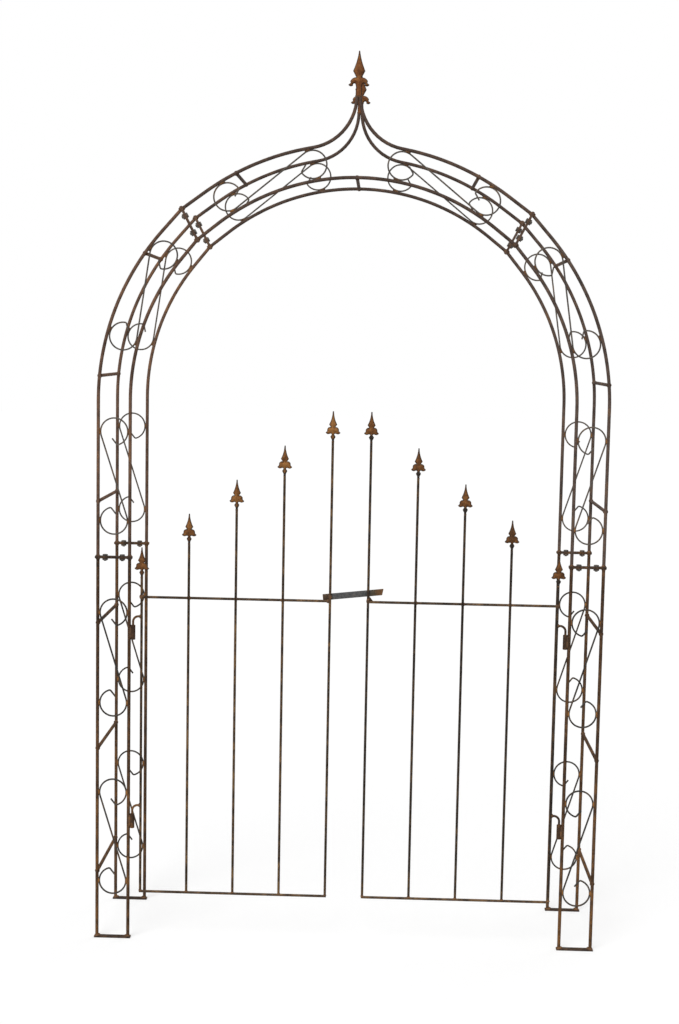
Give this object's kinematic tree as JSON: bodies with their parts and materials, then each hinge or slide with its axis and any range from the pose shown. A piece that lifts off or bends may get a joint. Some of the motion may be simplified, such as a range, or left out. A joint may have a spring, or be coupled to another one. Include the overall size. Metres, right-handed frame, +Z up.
{
  "type": "metal garden arch gate",
  "caption": "Free-standing garden arch of rusty round steel bar with an ogee top, wire scroll panels, spear finials and a pair of spear-topped gate leaves held by a flip latch.",
  "frame": {"origin": "on the ground, at the middle of the footprint of the four base bars", "axes": "+Z up; +X to the right seen from the front, where the leaves hang; +Y from front to back"},
  "size_m": [1.314, 0.311, 2.2964],
  "materials": {
    "arch_rail": "rusted",
    "joint_plate": "rusted",
    "leaf_bar": "rusted",
    "wire": "weathered",
    "spear_casting": "rusted",
    "hinge_steel": "rusted",
    "latch_steel": "mill scale"
  },
  "bodies": {
    "arch": {"back_finial": "spear_casting", "crown_inner_rails": "arch_rail", "crown_outer_rails": "arch_rail", "crown_plates": "joint_plate", "crown_rungs": "arch_rail", "crown_scrolls": "wire", "front_finial": "spear_casting", "left_hinge_sockets": "hinge_steel", "left_post_base_bars": "joint_plate", "left_post_rails": "arch_rail", "left_post_rungs": "arch_rail", "left_post_scrolls": "wire", "left_post_top_plates": "joint_plate", "left_quarter_lower_plates": "joint_plate", "left_quarter_rails": "arch_rail", "left_quarter_rungs": "arch_rail", "left_quarter_scrolls": "wire", "left_quarter_upper_plates": "joint_plate", "right_hinge_sockets": "hinge_steel", "right_post_base_bars": "joint_plate", "right_post_rails": "arch_rail", "right_post_rungs": "arch_rail", "right_post_scrolls": "wire", "right_post_top_plates": "joint_plate", "right_quarter_lower_plates": "joint_plate", "right_quarter_rails": "arch_rail", "right_quarter_rungs": "arch_rail", "right_quarter_scrolls": "wire", "right_quarter_upper_plates": "joint_plate"},
    "left_leaf": {"latch_stud": "hinge_steel", "left_leaf_bars": "leaf_bar", "left_leaf_bottom_rail": "leaf_bar", "left_leaf_hinge_hooks": "hinge_steel", "left_leaf_spearheads": "spear_casting", "left_leaf_upper_rail": "leaf_bar"},
    "right_leaf": {"latch_catch": "hinge_steel", "right_leaf_bars": "leaf_bar", "right_leaf_bottom_rail": "leaf_bar", "right_leaf_hinge_hooks": "hinge_steel", "right_leaf_spearheads": "spear_casting", "right_leaf_upper_rail": "leaf_bar"},
    "latch": {"latch_bar": "latch_steel"}
  },
  "joints": [
    {"name": "left_leaf_swing", "type": "hinge", "parent": "arch", "child": "left_leaf", "pos_m": [-0.558, -0.1475, 0.317], "axis": [0, 0, 1], "range_deg": [0, 88]},
    {"name": "right_leaf_swing", "type": "hinge", "parent": "arch", "child": "right_leaf", "pos_m": [0.558, -0.1475, 0.317], "axis": [0, 0, 1], "range_deg": [0, 110]},
    {"name": "latch_lift", "type": "hinge", "parent": "left_leaf", "child": "latch", "pos_m": [-0.049, -0.1419, 0.922], "axis": [0, -1, 0], "range_deg": [0, 80]}
  ]
}
